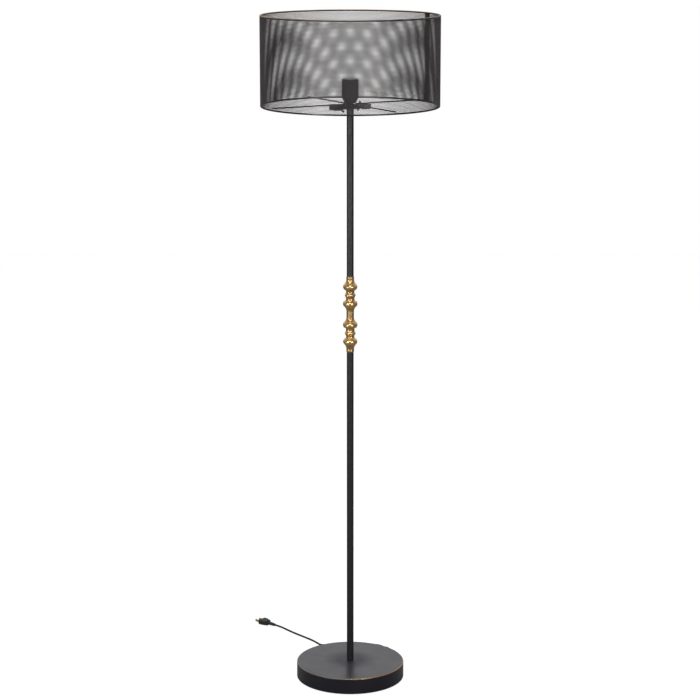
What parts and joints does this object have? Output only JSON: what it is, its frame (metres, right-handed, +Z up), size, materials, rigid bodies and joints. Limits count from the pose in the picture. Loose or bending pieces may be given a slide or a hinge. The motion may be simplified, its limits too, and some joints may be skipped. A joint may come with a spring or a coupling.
{
  "type": "floor lamp",
  "caption": "Floor lamp with a weighted round base, a slim pole with a turned middle section, a see-through perforated drum shade and an open screw lampholder.",
  "frame": {"origin": "centre of the base on the floor, on the pole's axis", "axes": "+Z up the pole, -Y towards the front"},
  "size_m": [0.446, 0.5882, 1.564],
  "materials": {
    "felt": "pressed felt",
    "hardboard": "dark closing board",
    "base_black": "satin black with a rubbed edge",
    "iron": "rough cast",
    "zinc_steel": "plated threaded tube",
    "grommet_rubber": "moulded",
    "pole_black": "satin black",
    "antique_gold": "antique gold, worn",
    "bracket_black": "dark bronze-black",
    "shade_bronze": "dark bronze-black, rubbed rims",
    "holder_black": "moulded, soft sheen",
    "holder_core": "off-white insulating moulding",
    "contact_brass": "bright",
    "cord_black": "flat twin flex",
    "tie_black": "flat band",
    "plug_black": "moulded"
  },
  "bodies": {
    "stand": {"base_board": "hardboard", "base_cover": "base_black", "base_nipple": "zinc_steel", "base_nut": "zinc_steel", "base_pad": "felt", "base_washer": "zinc_steel", "base_weight": "iron", "bottom_ring": "shade_bronze", "centre_strip": "contact_brass", "cord_grommet": "grommet_rubber", "cord_hank": "cord_black", "cord_lead": "cord_black", "cord_run": "cord_black", "coupler_nipples": "zinc_steel", "cross_bar": "bracket_black", "hank_tie": "tie_black", "inner_lead": "cord_black", "lower_tube": "pole_black", "middle_tube": "pole_black", "plug_blades": "contact_brass", "plug_body": "plug_black", "screw_shell": "contact_brass", "shade_sheet": "shade_bronze", "socket_cap": "holder_black", "socket_core": "holder_core", "socket_shell": "holder_black", "spider_plate": "bracket_black", "spoke_back_left": "shade_bronze", "spoke_back_right": "shade_bronze", "spoke_front_left": "shade_bronze", "spoke_front_right": "shade_bronze", "terminal_screws": "contact_brass", "terminal_wires": "cord_black", "top_nipple": "zinc_steel", "top_ring": "shade_bronze", "tube_bushes": "zinc_steel", "turned_column": "antique_gold", "upper_tube": "pole_black"},
    "left_wing_screw": {"wing_screw_left": "bracket_black"},
    "right_wing_screw": {"wing_screw_right": "bracket_black"},
    "contact_tongue": {"centre_tongue": "contact_brass"}
  },
  "joints": [
    {"name": "left_screw_turn", "type": "hinge", "parent": "stand", "child": "left_wing_screw", "pos_m": [-0.02858, -0.0165, 1.357], "axis": [0.5, -0.866, 0], "range_deg": [0, 360]},
    {"name": "right_screw_turn", "type": "hinge", "parent": "stand", "child": "right_wing_screw", "pos_m": [0.02858, 0.0165, 1.357], "axis": [-0.5, 0.866, 0], "range_deg": [0, 360]},
    {"name": "contact_press", "type": "hinge", "parent": "stand", "child": "contact_tongue", "pos_m": [-0.0054, 0, 1.3901], "axis": [0, 1, 0], "range_deg": [0, 12], "stiffness_Nm_per_rad": 0.2}
  ]
}
